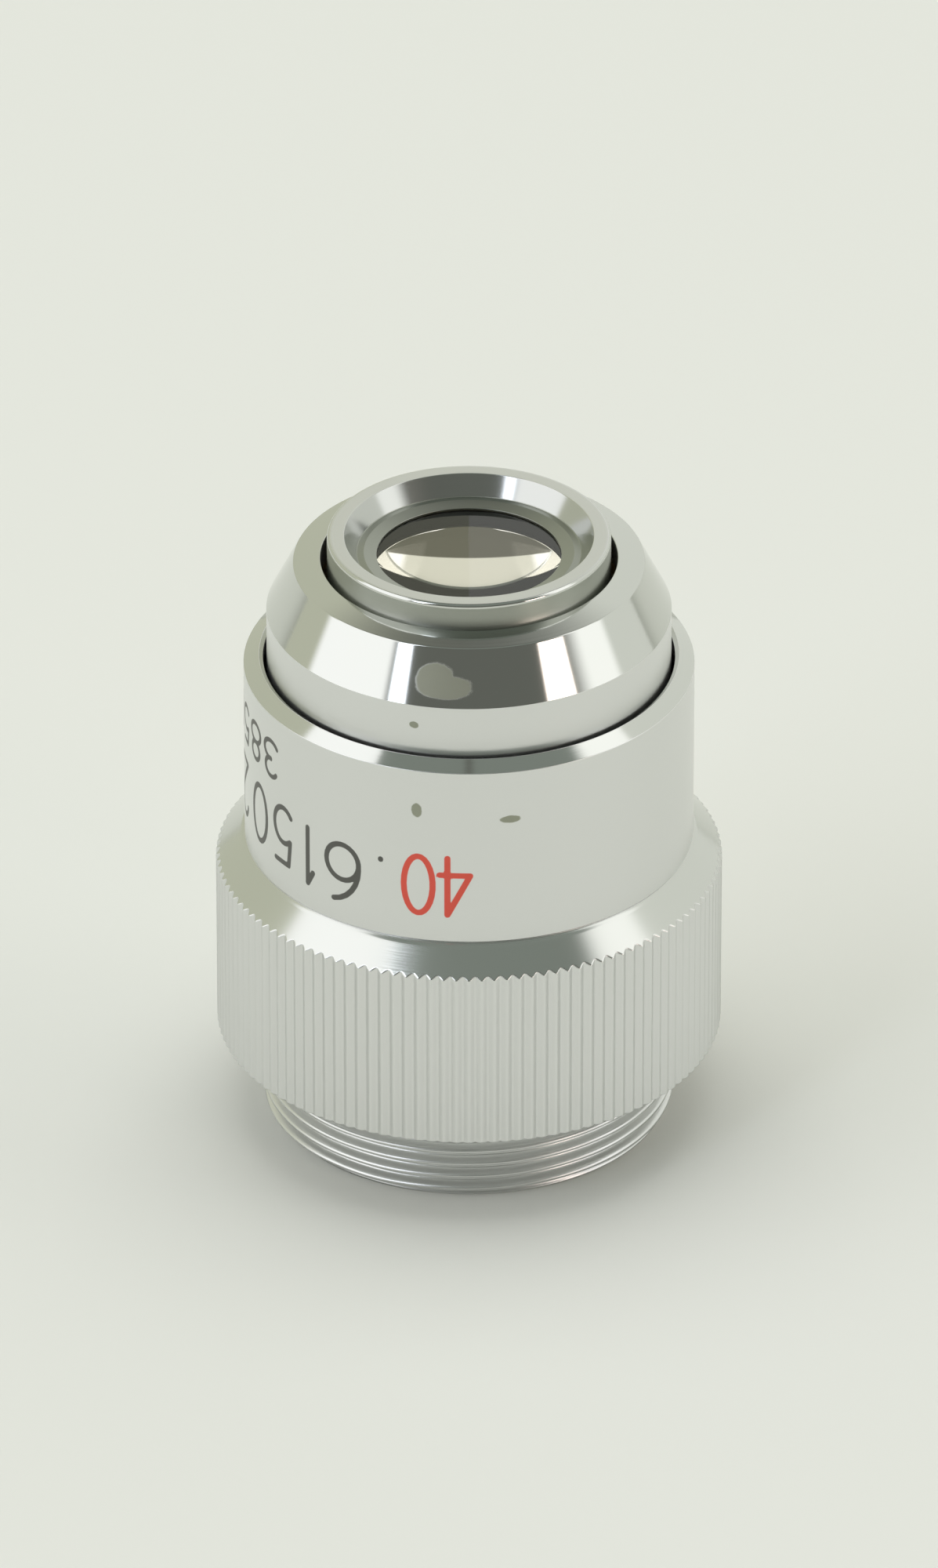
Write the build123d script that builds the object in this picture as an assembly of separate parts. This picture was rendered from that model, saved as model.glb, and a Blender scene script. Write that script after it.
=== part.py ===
from build123d import *
import os
from math import cos, pi, sin, sqrt

# A microscope objective with a spring-loaded nose, in millimetres.
# It stands nose up on its thread. Z is the optical axis, +Z points out of the nose,
# and the origin is the centre of the shoulder that seats on the nosepiece.

# Standard mounting thread, drawn as a plain cylinder at its major diameter
thread_radius = 10.16
thread_length = 4.6
thread_lead_in = 0.4
neck_length = 0.9
neck_depth = 0.6
seat_relief_width = 0.24
seat_relief_depth = 0.15

# Fixed body, measured outward from the thread
rear_wall = 1.56
guide_step = 0.4
guide_clearance = 0.03
screw_fit = 0.02
grip_rise = 1.43
grip_length = 9.3
grip_chamfer_height = 1.36
ridge_count = 126
ridge_depth = 0.2
ridge_crest_share = 0.24
ridge_shoulder_drop = 0.03

# Outer sleeve
sleeve_length = 9.95
sleeve_wall = 0.82
lip_height = 0.42
lip_land = 0.05

# Nose cover
nose_wall = 0.94
nose_gap = 0.32
nose_exposed = 2.56
cone_height = 2.62
nose_face_width = 1.33
nose_face_rise = 0.24
nose_roof = 1.1
skirt_chamfer = 0.2

# Travel of the nose
stroke = 2.2
stop_gap = 0.1
travel_gap = 0.3

# Guide screw and the slot that it runs in
guide_screw_radius = 0.8
guide_screw_edge = 0.7
guide_slot_depth = 0.75
guide_slot_gap = 0.05
screw_tip_gap = 0.1
screw_head_sink = 0.1
driver_slot_width = 0.3
driver_slot_depth = 0.4

# Return spring and the ring that holds it in
spring_clearance = 0.3
spring_wire = 0.6
spring_turns = 5
spring_length = 5.8
spring_seat_gap = 0.01
ring_recess = 0.2
ring_thickness = 1.2
spanner_slot_width = 1.2
spanner_slot_depth = 0.5

# Blackened tube that shields the light path from the spring
baffle_gap = 1.2
baffle_wall = 0.6
baffle_seat_gap = 0.1

# Lens barrel
barrel_wall = 1.37
barrel_flange = 1.0

# Lens cells and what they hold
cell_seat = 0.8
cell_top_margin = 0.5
retainer_thickness = 0.9
retainer_seat_gap = 0.01
cement_gap = 0.01
glass_fit = 0.02
glass_seat_width = 0.5
shim_thickness = 0.3
stop_thickness = 0.4
stop_rim = 3.38
spacer_wall = 1.3
rear_cell_wall = 1.56
rear_crown_rim = 0.6
rear_flint_rim = 2.0
rear_lower_bulge = 0.8
rear_joint_bulge = 1.1
middle_cell_wall = 2.16
middle_crown_rim = 0.5
middle_flint_rim = 1.9
middle_lower_bulge = 0.9
middle_joint_bulge = 1.2

# Front lens and its cell
front_step = 0.63
front_hole_gap = 0.32
front_ring_rise = 1.22
front_ring_land = 0.84
front_ring_edge = 0.1
front_shoulder_gap = 0.1
recess_depth = 1.0
recess_slope_width = 0.61
bezel_width = 0.35
bezel_rise = 0.05
bezel_lip_drop = 0.08
lens_overlap = 0.5
lens_side_wall = 2.56
lens_sink = 0.2
lens_rim = 3.1
lens_rear_bulge = 1.1
front_retainer_wall = 0.8
front_thread_step = 0.4
front_retainer_thickness = 1.0
front_cell_tail = 0.9

# Radii, from the thread outward and from the barrel inward
rear_bore = thread_radius - rear_wall
guide_bore = rear_bore + guide_step
barrel_radius = guide_bore - guide_clearance
barrel_bore = barrel_radius - barrel_wall
nose_bore = barrel_radius + screw_fit
nose_radius = nose_bore + nose_wall
sleeve_bore = nose_radius + nose_gap
sleeve_radius = sleeve_bore + sleeve_wall
spigot_radius = sleeve_bore - screw_fit
grip_radius = sleeve_radius + grip_rise
ring_radius = rear_bore - screw_fit
spring_radius = rear_bore - spring_clearance
baffle_radius = spring_radius - spring_wire - baffle_gap
baffle_bore = baffle_radius - baffle_wall
ring_hole = baffle_radius + travel_gap
cell_radius = barrel_bore - screw_fit
front_ring_radius = cell_radius - front_step
front_hole = front_ring_radius + front_hole_gap
lens_radius = cell_radius - lens_side_wall

# Heights, from the shoulder up
ring_bottom_z = ring_recess - thread_length
ring_top_z = ring_bottom_z + ring_thickness
barrel_rear_z = ring_top_z + spring_length
guide_bottom_z = barrel_rear_z - stroke - stop_gap
sleeve_bottom_z = grip_length + grip_chamfer_height
spigot_top_z = sleeve_bottom_z + 2 * (guide_screw_radius + guide_screw_edge)
guide_screw_z = sleeve_bottom_z + guide_screw_radius + guide_screw_edge
skirt_bottom_z = spigot_top_z + stroke + travel_gap
sleeve_top_z = sleeve_bottom_z + sleeve_length
cone_bottom_z = sleeve_top_z + nose_exposed
cone_top_z = cone_bottom_z + cone_height
nose_face_z = cone_top_z + nose_face_rise
front_top_z = nose_face_z + front_ring_rise
barrel_front_z = cone_top_z - nose_roof
front_shoulder_z = barrel_front_z - front_shoulder_gap
recess_z = front_top_z - recess_depth
lens_front_z = recess_z - lens_sink
lens_rear_z = lens_front_z - lens_rim


def turned(outline):
    """A solid turned about the optical axis from its (radius, height) corners."""
    corners = [(radius, 0, height) for radius, height in outline]
    return revolve(make_face(Polyline(*corners, close=True)), Axis.Z)


def tube(inner, outer, low, high):
    """A plain ring or tube between two radii and two heights."""
    return turned([(inner, low), (outer, low), (outer, high), (inner, high)])


def dome_height(radius, edge_radius, bulge):
    """How far a spherical lens surface stands above its edge, at a radius from the axis."""
    sphere = (edge_radius**2 + bulge**2) / (2 * abs(bulge))
    height = sqrt(sphere**2 - radius**2) - (sphere - abs(bulge))
    return height if bulge > 0 else -height


def dome_line(edge_radius, edge_z, bulge):
    """Half the section of a spherical lens surface, from the axis out to its edge."""
    radii = (0, edge_radius / 2, edge_radius)
    points = [(r, 0, edge_z + dome_height(r, edge_radius, bulge)) for r in radii]
    return ThreePointArc(*points)


def turned_section(lower, upper):
    """A lens turned from the section between its lower and its upper surface."""
    rim = Line(lower @ 1, upper @ 1)
    axis = Line(lower @ 0, upper @ 0)
    return revolve(make_face([lower, rim, upper, axis]), Axis.Z)


def ridge_outline():
    """The corners of the grip's section: each ridge has a rounded crest between two valleys."""
    pitch = 2 * pi / ridge_count
    valley = grip_radius - ridge_depth
    shoulder = grip_radius - ridge_shoulder_drop
    steps = ((-0.5, valley), (-ridge_crest_share, shoulder), (0, grip_radius), (ridge_crest_share, shoulder))
    corners = []
    for ridge in range(ridge_count):
        for share, radius in steps:
            angle = (ridge + share) * pitch
            corners.append((radius * cos(angle), radius * sin(angle)))
    return corners


def ridged_grip():
    """The ridged band, cut to its chamfer, up to the foot of the sleeve."""
    section = make_face(Polyline(*ridge_outline(), close=True))
    prism = extrude(section, amount=sleeve_bottom_z)
    past_crest = 2 * grip_radius - sleeve_radius
    past_bottom = grip_length - grip_chamfer_height
    envelope = turned(
        [
            (0, 0),
            (past_crest, 0),
            (past_crest, past_bottom),
            (sleeve_radius, sleeve_bottom_z),
            (0, sleeve_bottom_z),
        ]
    )
    return prism & envelope


def body_bore():
    """The space inside the body: the rear bore below, the wider guide bore above."""
    below = -thread_length - ring_recess
    above = spigot_top_z + ring_recess
    return turned(
        [
            (0, below),
            (rear_bore, below),
            (rear_bore, guide_bottom_z),
            (guide_bore, guide_bottom_z),
            (guide_bore, above),
            (0, above),
        ]
    )


def at_guide_screw(shape, outer_radius):
    """Lay an upright shape on its side behind the axis, its top face at a radius."""
    return Pos(0, outer_radius, guide_screw_z) * Rot(-90, 0, 0) * shape


def mount_body():
    """Thread, neck, ridged grip and the spigot that the sleeve screws onto, in one turned piece."""
    end_z = -thread_length
    threaded = turned(
        [
            (0, end_z),
            (thread_radius - thread_lead_in, end_z),
            (thread_radius, end_z + thread_lead_in),
            (thread_radius, -neck_length),
            (thread_radius - neck_depth, -neck_length),
            (thread_radius - neck_depth, 0),
            (0, 0),
        ]
    )
    spigot = tube(0, spigot_radius, sleeve_bottom_z, spigot_top_z)
    relief = tube(
        thread_radius - neck_depth,
        thread_radius + seat_relief_width,
        0,
        seat_relief_depth,
    )
    hole_length = 2 * (spigot_radius - guide_bore)
    hole = Cylinder(
        guide_screw_radius + screw_fit,
        hole_length,
        align=(Align.CENTER, Align.CENTER, Align.CENTER),
    )
    hole_middle = (spigot_radius + guide_bore) / 2
    turned_body = ridged_grip() - relief + threaded + spigot
    return turned_body - body_bore() - at_guide_screw(hole, hole_middle)


def outer_sleeve():
    """The plain sleeve that carries the markings, with its bevelled upper lip."""
    return turned(
        [
            (sleeve_bore, sleeve_bottom_z),
            (sleeve_radius, sleeve_bottom_z),
            (sleeve_radius, sleeve_top_z - lip_height),
            (sleeve_bore + lip_land, sleeve_top_z),
            (sleeve_bore, sleeve_top_z),
        ]
    )


def guide_screw():
    """A slotted grub screw through the spigot, whose tip runs in the barrel's slot."""
    tip = barrel_radius - guide_slot_depth + screw_tip_gap
    head = spigot_radius - screw_head_sink
    shank = Cylinder(guide_screw_radius, head - tip, align=(Align.CENTER, Align.CENTER, Align.MAX))
    driver_slot = Box(
        driver_slot_width,
        3 * guide_screw_radius,
        driver_slot_depth,
        align=(Align.CENTER, Align.CENTER, Align.MAX),
    )
    return at_guide_screw(shank - driver_slot, head)


def rear_retaining_ring():
    """The threaded ring that the spring sits on, with two slots for a spanner."""
    ring = tube(ring_hole, ring_radius, ring_bottom_z, ring_top_z)
    spanner = Box(
        3 * ring_radius,
        spanner_slot_width,
        spanner_slot_depth,
        align=(Align.CENTER, Align.CENTER, Align.MIN),
    )
    return ring - Pos(0, 0, ring_bottom_z) * spanner


def return_spring():
    """The coil spring that holds the nose out, drawn at its length with the nose out."""
    wire_radius = spring_wire / 2
    coil_radius = spring_radius - wire_radius
    low = ring_top_z + wire_radius + spring_seat_gap
    coil_height = spring_length - spring_wire - 2 * spring_seat_gap
    path = Pos(0, 0, low) * Helix(coil_height / spring_turns, coil_height, coil_radius)
    section = Plane(origin=path @ 0, z_dir=path % 0) * Circle(wire_radius)
    return sweep(section, path=path)


def lens_barrel():
    """The sliding barrel: a flange at its foot for the lens stack, and a blind slot behind."""
    flange_bore = baffle_radius + screw_fit
    flange_top_z = barrel_rear_z + barrel_flange
    body = turned(
        [
            (flange_bore, barrel_rear_z),
            (barrel_radius, barrel_rear_z),
            (barrel_radius, barrel_front_z),
            (barrel_bore, barrel_front_z),
            (barrel_bore, flange_top_z),
            (flange_bore, flange_top_z),
        ]
    )
    half_width = guide_screw_radius + guide_slot_gap
    cutter = Cylinder(half_width, guide_slot_depth, align=(Align.CENTER, Align.CENTER, Align.MAX))
    bridge = Box(2 * half_width, stroke, guide_slot_depth, align=(Align.CENTER, Align.MAX, Align.MAX))
    slot = at_guide_screw(cutter + bridge, barrel_radius)
    return body - slot - Pos(0, 0, stroke) * at_guide_screw(cutter, barrel_radius)


def nose_cover():
    """The plain skirt that slides in the sleeve, its cone and its face with the front hole."""
    return turned(
        [
            (nose_bore, skirt_bottom_z),
            (nose_radius - skirt_chamfer, skirt_bottom_z),
            (nose_radius, skirt_bottom_z + skirt_chamfer),
            (nose_radius, cone_bottom_z),
            (front_hole + nose_face_width, cone_top_z),
            (front_hole, nose_face_z),
            (front_hole, barrel_front_z),
            (nose_bore, barrel_front_z),
        ]
    )


def rear_baffle_tube():
    """The blackened tube inside the spring, screwed into the barrel's flange."""
    low = stroke + travel_gap - thread_length
    return tube(baffle_bore, baffle_radius, low, barrel_rear_z + barrel_flange - baffle_seat_gap)


class Doublet:
    """A cemented pair in its cell: where each piece sits, from the cell's foot up."""

    def __init__(self, foot_z, wall, lower_bulge, crown_rim, joint_bulge, flint_rim):
        self.foot_z = foot_z
        self.glass_radius = cell_radius - wall
        self.clear_radius = self.glass_radius - glass_seat_width
        self.lower_bulge = -lower_bulge
        self.joint_bulge = joint_bulge
        self.seat_z = foot_z + cell_seat
        drop = dome_height(self.clear_radius, self.glass_radius, self.lower_bulge)
        self.crown_low_z = self.seat_z - drop + retainer_seat_gap
        self.joint_z = self.crown_low_z + crown_rim
        self.flint_top_z = self.joint_z + cement_gap + flint_rim
        self.retainer_z = self.flint_top_z + retainer_seat_gap
        self.top_z = self.retainer_z + retainer_thickness + cell_top_margin

    def cell(self):
        """The brass cell, with the seat that the lower glass rests on."""
        glass_bore = self.glass_radius + glass_fit
        return turned(
            [
                (self.clear_radius, self.foot_z),
                (cell_radius, self.foot_z),
                (cell_radius, self.top_z),
                (glass_bore, self.top_z),
                (glass_bore, self.seat_z),
                (self.clear_radius, self.seat_z),
            ]
        )

    def crown(self):
        """The lower, biconvex glass."""
        lower = dome_line(self.glass_radius, self.crown_low_z, self.lower_bulge)
        upper = dome_line(self.glass_radius, self.joint_z, self.joint_bulge)
        return turned_section(lower, upper)

    def flint(self):
        """The upper glass, hollow below where it is cemented and flat above."""
        lower = dome_line(self.glass_radius, self.joint_z + cement_gap, self.joint_bulge)
        upper = Line((0, 0, self.flint_top_z), (self.glass_radius, 0, self.flint_top_z))
        return turned_section(lower, upper)

    def retainer(self):
        """The threaded ring that holds the pair down on its seat."""
        top = self.retainer_z + retainer_thickness
        return tube(self.clear_radius, self.glass_radius, self.retainer_z, top)


# The lens stack: the rear pair stands on the barrel's flange, the front cell closes it
front_retainer_z = lens_rear_z - front_retainer_thickness
front_cell_z = front_retainer_z - front_cell_tail - lens_rear_bulge
shim_z = front_cell_z - shim_thickness
rear_pair = Doublet(
    barrel_rear_z + barrel_flange,
    rear_cell_wall,
    rear_lower_bulge,
    rear_crown_rim,
    rear_joint_bulge,
    rear_flint_rim,
)
middle_measure = Doublet(
    0,
    middle_cell_wall,
    middle_lower_bulge,
    middle_crown_rim,
    middle_joint_bulge,
    middle_flint_rim,
)
middle_pair = Doublet(
    shim_z - middle_measure.top_z,
    middle_cell_wall,
    middle_lower_bulge,
    middle_crown_rim,
    middle_joint_bulge,
    middle_flint_rim,
)
stop_z = middle_pair.foot_z - stop_thickness


def air_gap_spacer():
    """The long spacer that sets the air gap between the two cemented pairs."""
    return tube(cell_radius - spacer_wall, cell_radius, rear_pair.top_z, stop_z)


def aperture_stop():
    """The thin blackened disc whose hole limits the beam."""
    return tube(cell_radius - stop_rim, cell_radius, stop_z, middle_pair.foot_z)


def spacing_shim():
    """The thin ring that sets the distance of the front cell."""
    return tube(cell_radius - spacer_wall, cell_radius, shim_z, front_cell_z)


def front_cell():
    """The cell screwed into the barrel: its ring stands out of the nose around the front lens."""
    lens_bore = lens_radius + glass_fit
    retainer_bore = lens_radius + front_thread_step + screw_fit
    slope_top = front_ring_radius - front_ring_land
    slope_foot = slope_top - recess_slope_width
    lip_radius = lens_radius - lens_overlap
    return turned(
        [
            (retainer_bore, front_cell_z),
            (cell_radius, front_cell_z),
            (cell_radius, front_shoulder_z),
            (front_ring_radius, front_shoulder_z),
            (front_ring_radius, front_top_z - front_ring_edge),
            (front_ring_radius - front_ring_edge, front_top_z),
            (slope_top, front_top_z),
            (slope_foot, recess_z),
            (slope_foot - bezel_width, recess_z + bezel_rise),
            (lip_radius, recess_z - bezel_lip_drop),
            (lip_radius, lens_front_z + retainer_seat_gap),
            (lens_bore, lens_front_z + retainer_seat_gap),
            (lens_bore, lens_rear_z),
            (retainer_bore, lens_rear_z),
        ]
    )


def front_lens():
    """The thick front lens, flat in front and bulged behind."""
    lower = dome_line(lens_radius, lens_rear_z, -lens_rear_bulge)
    upper = Line((0, 0, lens_front_z), (lens_radius, 0, lens_front_z))
    return turned_section(lower, upper)


def front_lens_retainer():
    """The threaded ring behind the front lens, which bears on it with its inner edge."""
    outer = lens_radius + front_thread_step
    inner = lens_radius - front_retainer_wall + front_thread_step
    contact = dome_height(inner, lens_radius, -lens_rear_bulge)
    top = lens_rear_z + contact - retainer_seat_gap
    return tube(inner, outer, top - front_retainer_thickness, top)


# Each node's name and its solid
nodes = {
    "mount_body": mount_body,
    "outer_sleeve": outer_sleeve,
    "guide_screw": guide_screw,
    "rear_retaining_ring": rear_retaining_ring,
    "return_spring": return_spring,
    "lens_barrel": lens_barrel,
    "nose_cover": nose_cover,
    "rear_baffle_tube": rear_baffle_tube,
    "rear_cell": rear_pair.cell,
    "rear_crown_lens": rear_pair.crown,
    "rear_flint_lens": rear_pair.flint,
    "rear_lens_retainer": rear_pair.retainer,
    "air_gap_spacer": air_gap_spacer,
    "aperture_stop": aperture_stop,
    "middle_cell": middle_pair.cell,
    "middle_crown_lens": middle_pair.crown,
    "middle_flint_lens": middle_pair.flint,
    "middle_lens_retainer": middle_pair.retainer,
    "spacing_shim": spacing_shim,
    "front_cell": front_cell,
    "front_lens": front_lens,
    "front_lens_retainer": front_lens_retainer,
}

os.makedirs("parts", exist_ok=True)
for name, make in nodes.items():
    solid = make()
    export_step(solid, f"parts/{name}.step")
    print(f"{name}: {solid.volume:.1f} mm3")
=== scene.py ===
from math import cos, pi, radians, sin

import bpy
import numpy as np
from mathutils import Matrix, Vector


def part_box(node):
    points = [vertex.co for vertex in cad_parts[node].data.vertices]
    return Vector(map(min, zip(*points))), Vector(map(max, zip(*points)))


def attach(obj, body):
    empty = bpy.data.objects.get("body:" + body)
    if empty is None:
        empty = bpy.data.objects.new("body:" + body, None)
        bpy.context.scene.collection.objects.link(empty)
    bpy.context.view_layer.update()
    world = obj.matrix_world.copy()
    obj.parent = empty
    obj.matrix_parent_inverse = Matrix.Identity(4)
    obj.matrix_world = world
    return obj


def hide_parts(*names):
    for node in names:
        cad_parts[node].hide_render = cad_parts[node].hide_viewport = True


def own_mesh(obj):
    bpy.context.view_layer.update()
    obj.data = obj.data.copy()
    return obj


# A chrome-plated microscope objective with a retracting nose, standing on its thread.
# Shapes are given in millimetres and put into the meshes in metres. Angles round the axis
# that place a mark, a lamp or the camera are 0 towards the camera and grow to the right.

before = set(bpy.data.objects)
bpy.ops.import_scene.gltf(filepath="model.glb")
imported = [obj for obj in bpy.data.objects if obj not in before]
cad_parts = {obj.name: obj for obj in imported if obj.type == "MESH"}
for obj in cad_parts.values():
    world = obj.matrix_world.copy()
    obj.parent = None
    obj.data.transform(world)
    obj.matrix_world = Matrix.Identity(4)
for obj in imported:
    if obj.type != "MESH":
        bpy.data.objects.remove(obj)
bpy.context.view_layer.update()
MM = 0.001


def node_size(node):
    """The largest radius, lowest height and highest height of a CAD node, in millimetres."""
    low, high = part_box(node)
    return high[0] / MM, low[2] / MM, high[2] / MM


# Sizes taken from the frame
GRIP_RADIUS, THREAD_END_Z, SPIGOT_TOP_Z = node_size("mount_body")
SLEEVE_RADIUS, SLEEVE_FOOT_Z, SLEEVE_TOP_Z = node_size("outer_sleeve")
NOSE_RADIUS, SKIRT_FOOT_Z, NOSE_FACE_Z = node_size("nose_cover")
CELL_RADIUS, CELL_FOOT_Z, FRONT_TOP_Z = node_size("front_cell")
LENS_RADIUS, _, LENS_FRONT_Z = node_size("front_lens")
SPRING_RADIUS, SPRING_LOW_Z, SPRING_HIGH_Z = node_size("return_spring")
BARREL_FRONT_Z = node_size("lens_barrel")[2]

# Sizes of the mounting thread and the relief under the grip
THREAD_RADIUS = 10.16
THREAD_PITCH = 25.4 / 36
THREAD_DEPTH = 0.64 * THREAD_PITCH
THREAD_LEAD_IN = 0.4
NECK_LENGTH = 0.9
NECK_RADIUS = 9.56
NECK_RAMP = 0.12
NECK_RAMP_RISE = 0.6
SEAT_RELIEF_RADIUS = 10.4
SEAT_RELIEF_DEPTH = 0.15

# Sizes of the ridged grip and the bores of the fixed body
GRIP_LENGTH = 9.3
GRIP_EDGE = 0.08
RIDGE_COUNT = 126
RIDGE_DEPTH = 0.19
REAR_BORE = 8.6
GUIDE_BORE = 9.0
GUIDE_STEP_Z = 0.3
SPIGOT_RADIUS = 10.23

# Sizes of the sleeve
SLEEVE_BORE = 10.25
SLEEVE_SEAM = 0.01
LIP_HEIGHT = 0.42
LIP_LAND = 0.06
LIP_BORE = 10.1
LIP_EDGE_DROP = 0.12
SPIGOT_CLEARANCE = 0.1

# Sizes of the nose
NOSE_BORE = 8.99
FACE_RISE = 0.24
CONE_HEIGHT = 2.62
CONE_TOP_Z = NOSE_FACE_Z - FACE_RISE
CONE_FOOT_Z = CONE_TOP_Z - CONE_HEIGHT
CONE_TOP_RADIUS = 8.6
FRONT_HOLE = 7.27

# Sizes of the front ring and its lens
RING_OUTER = 6.95
LAND_INNER = 6.11
RECESS_DEPTH = 1.0
RECESS_FOOT = 5.5
BEZEL_OUTER = 5.15
BEZEL_RISE = 0.05
LENS_OPENING = 4.52
LIP_DROP = 0.08
LENS_GAP = 0.01
LENS_BORE = 5.04
RETAINER_BORE = 5.44
CELL_SHOULDER_Z = BARREL_FRONT_Z - 0.1
LENS_RIM = 3.1
LENS_BULGE = 1.1

# Sizes of the spring
SPRING_TURNS = 5
WIRE_RADIUS = 0.3

# Mesh fineness: points round a turned piece and round the marked sleeve, steps to a ridge and
# to a pitch of the thread, steps across the lens, steps to a turn of the spring and points
# round its wire
AROUND = 360
MARKED_AROUND = 720
RIDGE_STEPS = 10
THREAD_STEPS = 12
LENS_STEPS = 24
SPRING_STEPS = 72
WIRE_SIDES = 16


def new_object(name, points, faces, body, materials):
    """A mesh object from points in millimetres and faces, riding on a body of the frame."""
    mesh = bpy.data.meshes.new(name)
    mesh.from_pydata(points * MM, [], faces)
    for material in materials:
        mesh.materials.append(material)
    mesh.shade_smooth()
    obj = bpy.data.objects.new(name, mesh)
    bpy.context.scene.collection.objects.link(obj)
    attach(obj, body)
    return obj


def set_attribute(obj, name, values):
    """Store one number for each vertex, for the materials to read."""
    layer = obj.data.attributes.new(name, "FLOAT", "POINT")
    layer.data.foreach_set("value", np.asarray(values, dtype=np.float32).ravel())


def set_face_materials(obj, indices):
    """Give each face the number of its material slot."""
    obj.data.polygons.foreach_set("material_index", np.asarray(indices, dtype=np.int32))


def grid_faces(rows, columns, wrap_rows=False):
    """Quads between the points of a grid whose columns close into a circle, facing outwards."""
    row = np.arange(rows if wrap_rows else rows - 1)[:, None]
    column = np.arange(columns)[None, :]
    next_row = (row + 1) % rows
    next_column = (column + 1) % columns
    corners = (
        row * columns + column,
        row * columns + next_column,
        next_row * columns + next_column,
        next_row * columns + column,
    )
    return np.stack([corner.ravel() for corner in corners], axis=1)


# The order of a triangle's corners that turns it to face the other way
FLIPPED = [0, 2, 1]


def fan_faces(hub, ring_start, count):
    """Triangles from one point to a closed ring of points, in the ring's own direction."""
    ring = np.arange(count)
    return np.stack([np.full(count, hub), ring_start + ring, ring_start + (ring + 1) % count], axis=1)


def rounded(outline, closed=True):
    """An outline of (radius, height, rounding, steps) corners as points along it.

    Each corner with a rounding becomes an arc. It reaches along both sides by its radius over
    the tangent of half the corner's angle, and its middle lies on the line that halves the
    corner. A point on each side close to the arc keeps the shading of the flat stretch flat."""
    corners = np.array([corner[:2] for corner in outline], dtype=float)
    count = len(corners)
    points = []
    for i, corner in enumerate(corners):
        if len(outline[i]) == 2 or (not closed and i in (0, count - 1)):
            points.append(corner)
            continue
        radius, steps = outline[i][2:]
        back = corners[i - 1] - corner
        ahead = corners[(i + 1) % count] - corner
        back_length = np.linalg.norm(back)
        ahead_length = np.linalg.norm(ahead)
        back = back / back_length
        ahead = ahead / ahead_length
        half = np.arccos(np.clip(back @ ahead, -1, 1)) / 2
        reach = min(radius / np.tan(half), 0.45 * back_length, 0.45 * ahead_length)
        radius = reach * np.tan(half)
        middle = corner + (back + ahead) / np.linalg.norm(back + ahead) * radius / np.sin(half)
        start = corner + back * reach - middle
        end = corner + ahead * reach - middle
        turn = np.pi - 2 * half
        share = np.linspace(0, 1, steps + 1)[:, None]
        bend = (start * np.sin((1 - share) * turn) + end * np.sin(share * turn)) / np.sin(turn)
        support = min(0.3 * radius, 0.2 * back_length, 0.2 * ahead_length)
        points.append(middle + start + back * support)
        points.extend(middle + bend)
        points.append(middle + end + ahead * support)
    return np.array(points)


def round_axis(radius, height, angle):
    """Points round the axis: the radius times the angle's cosine and sine, and the height."""
    grid = np.stack([radius * np.cos(angle), radius * np.sin(angle), height + 0 * angle], axis=2)
    return grid.reshape(-1, 3)


def turned_points(profile, columns):
    """Turn a profile of (radius, height) points round the axis, at evenly spaced angles."""
    angle = np.arange(columns)[None, :] * 2 * np.pi / columns
    return round_axis(profile[:, :1], profile[:, 1:], angle)


def turned_ring(name, outline, body, materials, zone, columns=AROUND):
    """A closed ring: a closed outline, listed so that it runs up the outside, turned round the axis.

    zone gives the material slot of the band between two points of the profile."""
    profile = rounded(outline)
    faces = grid_faces(len(profile), columns, wrap_rows=True)
    obj = new_object(name, turned_points(profile, columns), faces.tolist(), body, materials)
    zones = [zone(start, end) for start, end in zip(profile, np.roll(profile, -1, axis=0))]
    set_face_materials(obj, np.repeat(zones, columns))
    return obj


# Materials

def linear(hex_colour):
    """An sRGB colour such as 'C8CCC4' as linear red, green, blue and 1."""
    values = np.array([int(hex_colour[i:i + 2], 16) / 255 for i in (0, 2, 4)])
    curve = np.where(values <= 0.04045, values / 12.92, ((values + 0.055) / 1.055) ** 2.4)
    return (*curve.tolist(), 1.0)


def add_node(tree, kind, inputs=None, **settings):
    """Add a node with its settings, and give each named or numbered input a value or a link."""
    node = tree.nodes.new(kind)
    for name, value in settings.items():
        setattr(node, name, value)
    for key, value in (inputs or {}).items():
        if isinstance(value, bpy.types.NodeSocket):
            tree.links.new(value, node.inputs[key])
        else:
            node.inputs[key].default_value = value
    return node


def new_material(name, make_surface):
    """A node material whose surface is what make_surface adds to its node tree."""
    material = bpy.data.materials.new(name)
    material.use_nodes = True
    tree = material.node_tree
    tree.nodes.clear()
    output = tree.nodes.new("ShaderNodeOutputMaterial")
    tree.links.new(make_surface(tree), output.inputs["Surface"])
    return material


# Real turning marks are a few hundredths of a millimetre apart, which is too fine to show
# at the photograph's distance, so they are drawn this far apart, in millimetres
LINE_SPACING = 0.12


def turning_lines(tree, strength):
    """A bump of fine lines round the axis, left by the lathe.

    It is noise of two numbers, the distance from the axis and the height, so it stays the
    same all the way round."""
    place = add_node(tree, "ShaderNodeTexCoord").outputs["Object"]
    axis = add_node(tree, "ShaderNodeSeparateXYZ", {0: place})
    flat = add_node(tree, "ShaderNodeVectorMath", {0: place, 1: (1.0, 1.0, 0.0)}, operation="MULTIPLY")
    out = add_node(tree, "ShaderNodeVectorMath", {0: flat.outputs[0]}, operation="LENGTH")
    along = add_node(tree, "ShaderNodeCombineXYZ", {"X": out.outputs["Value"], "Z": axis.outputs["Z"]})
    noise = add_node(tree, "ShaderNodeTexNoise", {
        "Vector": along.outputs[0], "Scale": 1 / (LINE_SPACING * MM), "Detail": 1.0})
    bump = add_node(tree, "ShaderNodeBump", {
        "Strength": strength, "Distance": 0.2 * LINE_SPACING * MM, "Height": noise.outputs[0]})
    return bump.outputs[0]


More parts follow.
